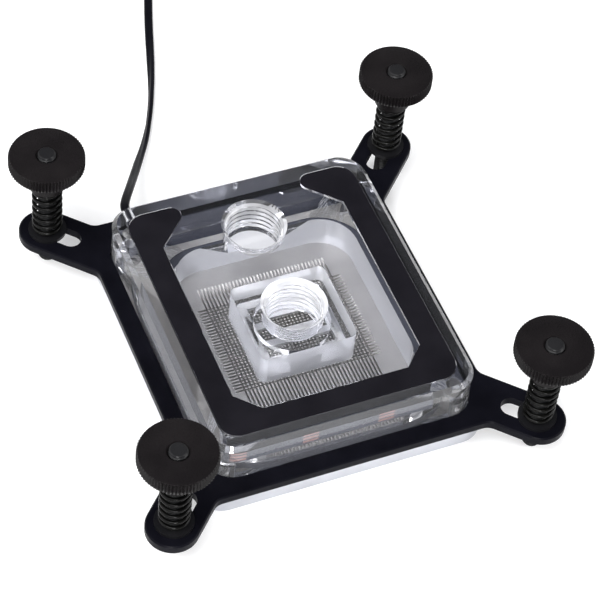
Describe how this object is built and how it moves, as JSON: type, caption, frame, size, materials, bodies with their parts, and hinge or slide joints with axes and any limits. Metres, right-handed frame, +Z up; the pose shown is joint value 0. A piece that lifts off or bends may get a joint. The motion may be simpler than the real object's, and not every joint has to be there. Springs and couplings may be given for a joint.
{
  "type": "cpu water block",
  "caption": "Clear-topped processor water block: finned cold plate, threaded coolant ports, black trim plate, lighting strip and a slotted bracket on sprung thumb nuts.",
  "frame": {"origin": "centre of the cold plate's contact face, which rests on the processor", "axes": "+Z up out of the contact face, +Y from the inlet port towards the outlet port and the lead's exit"},
  "size_m": [0.1047, 0.1796, 0.0331],
  "materials": {
    "nickel": "nickel-plated copper",
    "acrylic": "clear polished acrylic",
    "black_trim": "satin black",
    "steel": "bare steel",
    "seal_rubber": "black rubber",
    "circuit": "dark blue circuit board",
    "light_chip": "unlit light chip",
    "cable_skin": "black cable skin",
    "plug_plastic": "black plastic",
    "bracket_coat": "black powder coat",
    "stud_steel": "blackened steel",
    "washer_black": "black plastic",
    "spring_steel": "blackened spring steel",
    "nut_black": "black plated"
  },
  "bodies": {
    "block": {"cold_plate": "nickel", "clear_top": "acrylic", "face_plate": "black_trim", "jet_plate": "steel", "seal_ring": "seal_rubber", "base_screws": "steel", "led_board": "circuit", "led_chips": "light_chip", "cable_inner": "cable_skin", "cable_lead": "cable_skin", "cable_coil": "cable_skin", "cable_tie": "plug_plastic", "cable_tail": "cable_skin", "cable_plug": "plug_plastic", "mounting_bracket": "bracket_coat"},
    "stud_front_left": {"stud_front_left": "stud_steel", "washer_front_left": "washer_black"},
    "spring_front_left": {"spring_front_left": "spring_steel"},
    "nut_front_left": {"thumb_nut_front_left": "nut_black"},
    "stud_front_right": {"stud_front_right": "stud_steel", "washer_front_right": "washer_black"},
    "spring_front_right": {"spring_front_right": "spring_steel"},
    "nut_front_right": {"thumb_nut_front_right": "nut_black"},
    "stud_back_right": {"stud_back_right": "stud_steel", "washer_back_right": "washer_black"},
    "spring_back_right": {"spring_back_right": "spring_steel"},
    "nut_back_right": {"thumb_nut_back_right": "nut_black"},
    "stud_back_left": {"stud_back_left": "stud_steel", "washer_back_left": "washer_black"},
    "spring_back_left": {"spring_back_left": "spring_steel"},
    "nut_back_left": {"thumb_nut_back_left": "nut_black"}
  },
  "joints": [
    {"name": "stud_slide_front_left", "type": "slide", "parent": "block", "child": "stud_front_left", "axis": [0.7071, 0.7071, 0], "range_m": [0, 0.00566]},
    {"name": "nut_travel_front_left", "type": "slide", "parent": "stud_front_left", "child": "spring_front_left", "axis": [0, 0, 1], "range_m": [-0.0049, 0], "deforming": ["spring_front_left"]},
    {"name": "nut_turn_front_left", "type": "hinge", "parent": "spring_front_left", "child": "nut_front_left", "pos_m": [-0.04, -0.04, 0.0233], "axis": [0, 0, 1], "range_deg": [-2520, 0]},
    {"name": "stud_slide_front_right", "type": "slide", "parent": "block", "child": "stud_front_right", "axis": [-0.7071, 0.7071, 0], "range_m": [0, 0.00566]},
    {"name": "nut_travel_front_right", "type": "slide", "parent": "stud_front_right", "child": "spring_front_right", "axis": [0, 0, 1], "range_m": [-0.0049, 0], "deforming": ["spring_front_right"]},
    {"name": "nut_turn_front_right", "type": "hinge", "parent": "spring_front_right", "child": "nut_front_right", "pos_m": [0.04, -0.04, 0.0233], "axis": [0, 0, 1], "range_deg": [-2520, 0]},
    {"name": "stud_slide_back_right", "type": "slide", "parent": "block", "child": "stud_back_right", "axis": [-0.7071, -0.7071, 0], "range_m": [0, 0.00566]},
    {"name": "nut_travel_back_right", "type": "slide", "parent": "stud_back_right", "child": "spring_back_right", "axis": [0, 0, 1], "range_m": [-0.0049, 0], "deforming": ["spring_back_right"]},
    {"name": "nut_turn_back_right", "type": "hinge", "parent": "spring_back_right", "child": "nut_back_right", "pos_m": [0.04, 0.04, 0.0233], "axis": [0, 0, 1], "range_deg": [-2520, 0]},
    {"name": "stud_slide_back_left", "type": "slide", "parent": "block", "child": "stud_back_left", "axis": [0.7071, -0.7071, 0], "range_m": [0, 0.00566]},
    {"name": "nut_travel_back_left", "type": "slide", "parent": "stud_back_left", "child": "spring_back_left", "axis": [0, 0, 1], "range_m": [-0.0049, 0], "deforming": ["spring_back_left"]},
    {"name": "nut_turn_back_left", "type": "hinge", "parent": "spring_back_left", "child": "nut_back_left", "pos_m": [-0.04, 0.04, 0.0233], "axis": [0, 0, 1], "range_deg": [-2520, 0]}
  ],
  "couplings": [
    {"joint": "nut_travel_front_left", "follows": "nut_turn_front_left", "m_per_rad": 0.00011141},
    {"joint": "nut_travel_front_right", "follows": "nut_turn_front_right", "m_per_rad": 0.00011141},
    {"joint": "nut_travel_back_right", "follows": "nut_turn_back_right", "m_per_rad": 0.00011141},
    {"joint": "nut_travel_back_left", "follows": "nut_turn_back_left", "m_per_rad": 0.00011141}
  ]
}
